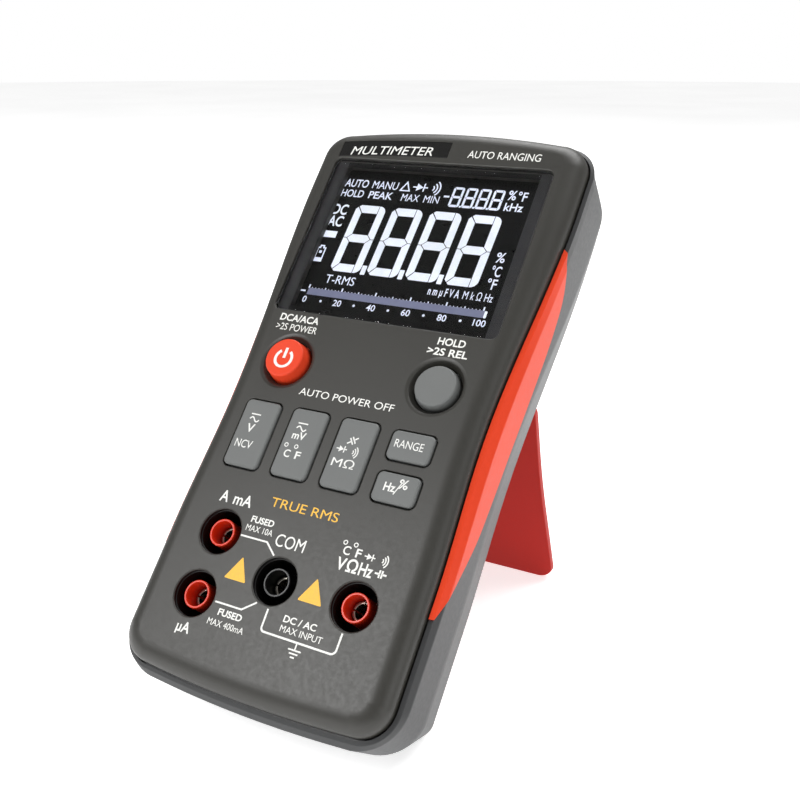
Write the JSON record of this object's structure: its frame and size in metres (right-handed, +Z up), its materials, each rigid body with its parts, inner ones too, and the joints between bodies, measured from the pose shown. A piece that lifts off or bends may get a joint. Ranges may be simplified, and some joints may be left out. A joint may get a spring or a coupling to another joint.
{
  "type": "digital multimeter",
  "caption": "Hand-held digital multimeter with backlit segment display, soft keys, recessed test-lead sockets, side grips and a fold-out rear stand, standing on the stand.",
  "frame": {"origin": "centre of the bounding box's base, on the surface the meter stands on", "axes": "+Z up, -Y toward the user who reads the display, +X to the right of the display"},
  "size_m": [0.0866, 0.1364, 0.1427],
  "materials": {
    "antenna_copper": "copper clad",
    "backlight_diffuser": "translucent white",
    "board_laminate": "solder mask",
    "buzzer_plastic": "moulded",
    "carrier_white_plastic": "moulded",
    "cell_sleeve": "printed sleeve",
    "chip_epoxy": "moulded epoxy",
    "contact_metal": "nickel plated",
    "door_plastic": "fine texture",
    "front_shell_plastic": "fine satin",
    "fuse_ceramic": "white tube",
    "grip_plastic_red": "satin",
    "jack_plastic_black": "satin",
    "jack_plastic_red": "satin",
    "key_plastic_grey": "soft touch",
    "key_plastic_red": "soft touch",
    "lcd_black": "dark panel",
    "lens_acrylic": "clear, dark display behind",
    "name_plate_black": "gloss label",
    "rear_shell_plastic": "fine texture",
    "screw_steel": "zinc plated",
    "stand_plastic_red": "satin",
    "switch_plastic": "moulded"
  },
  "bodies": {
    "meter": {"backlight": "backlight_diffuser", "battery_1": "cell_sleeve", "battery_2": "cell_sleeve", "battery_contact_left": "contact_metal", "battery_contact_right": "contact_metal", "battery_door": "door_plastic", "board_screw_1": "screw_steel", "board_screw_2": "screw_steel", "buzzer": "buzzer_plastic", "case_screw_1": "screw_steel", "case_screw_2": "screw_steel", "case_screw_3": "screw_steel", "case_screw_4": "screw_steel", "circuit_board": "board_laminate", "display_carrier": "carrier_white_plastic", "display_lens": "lens_acrylic", "door_screw": "screw_steel", "field_antenna": "antenna_copper", "front_case": "front_shell_plastic", "fuse_amp": "fuse_ceramic", "fuse_clip_amp_a": "contact_metal", "fuse_clip_amp_b": "contact_metal", "fuse_clip_micro_a": "contact_metal", "fuse_clip_micro_b": "contact_metal", "fuse_micro": "fuse_ceramic", "grip_left": "grip_plastic_red", "grip_right": "grip_plastic_red", "hinge_pin": "screw_steel", "jack_collar_amp": "jack_plastic_red", "jack_collar_com": "jack_plastic_black", "jack_collar_micro": "jack_plastic_red", "jack_collar_volt": "jack_plastic_red", "jack_sleeve_amp": "contact_metal", "jack_sleeve_com": "contact_metal", "jack_sleeve_micro": "contact_metal", "jack_sleeve_volt": "contact_metal", "lcd_panel": "lcd_black", "main_chip": "chip_epoxy", "name_plate": "name_plate_black", "rear_case": "rear_shell_plastic", "switch_hertz": "switch_plastic", "switch_hold": "switch_plastic", "switch_millivolts": "switch_plastic", "switch_ohms": "switch_plastic", "switch_power": "switch_plastic", "switch_range": "switch_plastic", "switch_volts": "switch_plastic"},
    "stand": {"kickstand": "stand_plastic_red"},
    "key_power_body": {"key_power": "key_plastic_red"},
    "key_hold_body": {"key_hold": "key_plastic_grey"},
    "key_volts_body": {"key_volts": "key_plastic_grey"},
    "key_millivolts_body": {"key_millivolts": "key_plastic_grey"},
    "key_ohms_body": {"key_ohms": "key_plastic_grey"},
    "key_range_body": {"key_range": "key_plastic_grey"},
    "key_hertz_body": {"key_hertz": "key_plastic_grey"}
  },
  "joints": [
    {"name": "kickstand_hinge", "type": "hinge", "parent": "meter", "child": "stand", "pos_m": [0, 0.03249, 0.07775], "axis": [1, 0, 0], "range_deg": [-58.5, 0]},
    {"name": "key_power_press", "type": "slide", "parent": "meter", "child": "key_power_body", "axis": [0, 0.7373, -0.6756], "range_m": [0, 0.001], "stiffness_N_per_m": 400, "springref_m": -0.0005},
    {"name": "key_hold_press", "type": "slide", "parent": "meter", "child": "key_hold_body", "axis": [0, 0.7373, -0.6756], "range_m": [0, 0.001], "stiffness_N_per_m": 400, "springref_m": -0.0005},
    {"name": "key_volts_press", "type": "slide", "parent": "meter", "child": "key_volts_body", "axis": [0, 0.7373, -0.6756], "range_m": [0, 0.001], "stiffness_N_per_m": 400, "springref_m": -0.0005},
    {"name": "key_millivolts_press", "type": "slide", "parent": "meter", "child": "key_millivolts_body", "axis": [0, 0.7373, -0.6756], "range_m": [0, 0.001], "stiffness_N_per_m": 400, "springref_m": -0.0005},
    {"name": "key_ohms_press", "type": "slide", "parent": "meter", "child": "key_ohms_body", "axis": [0, 0.7373, -0.6756], "range_m": [0, 0.001], "stiffness_N_per_m": 400, "springref_m": -0.0005},
    {"name": "key_range_press", "type": "slide", "parent": "meter", "child": "key_range_body", "axis": [0, 0.7373, -0.6756], "range_m": [0, 0.001], "stiffness_N_per_m": 400, "springref_m": -0.0005},
    {"name": "key_hertz_press", "type": "slide", "parent": "meter", "child": "key_hertz_body", "axis": [0, 0.7373, -0.6756], "range_m": [0, 0.001], "stiffness_N_per_m": 400, "springref_m": -0.0005}
  ]
}
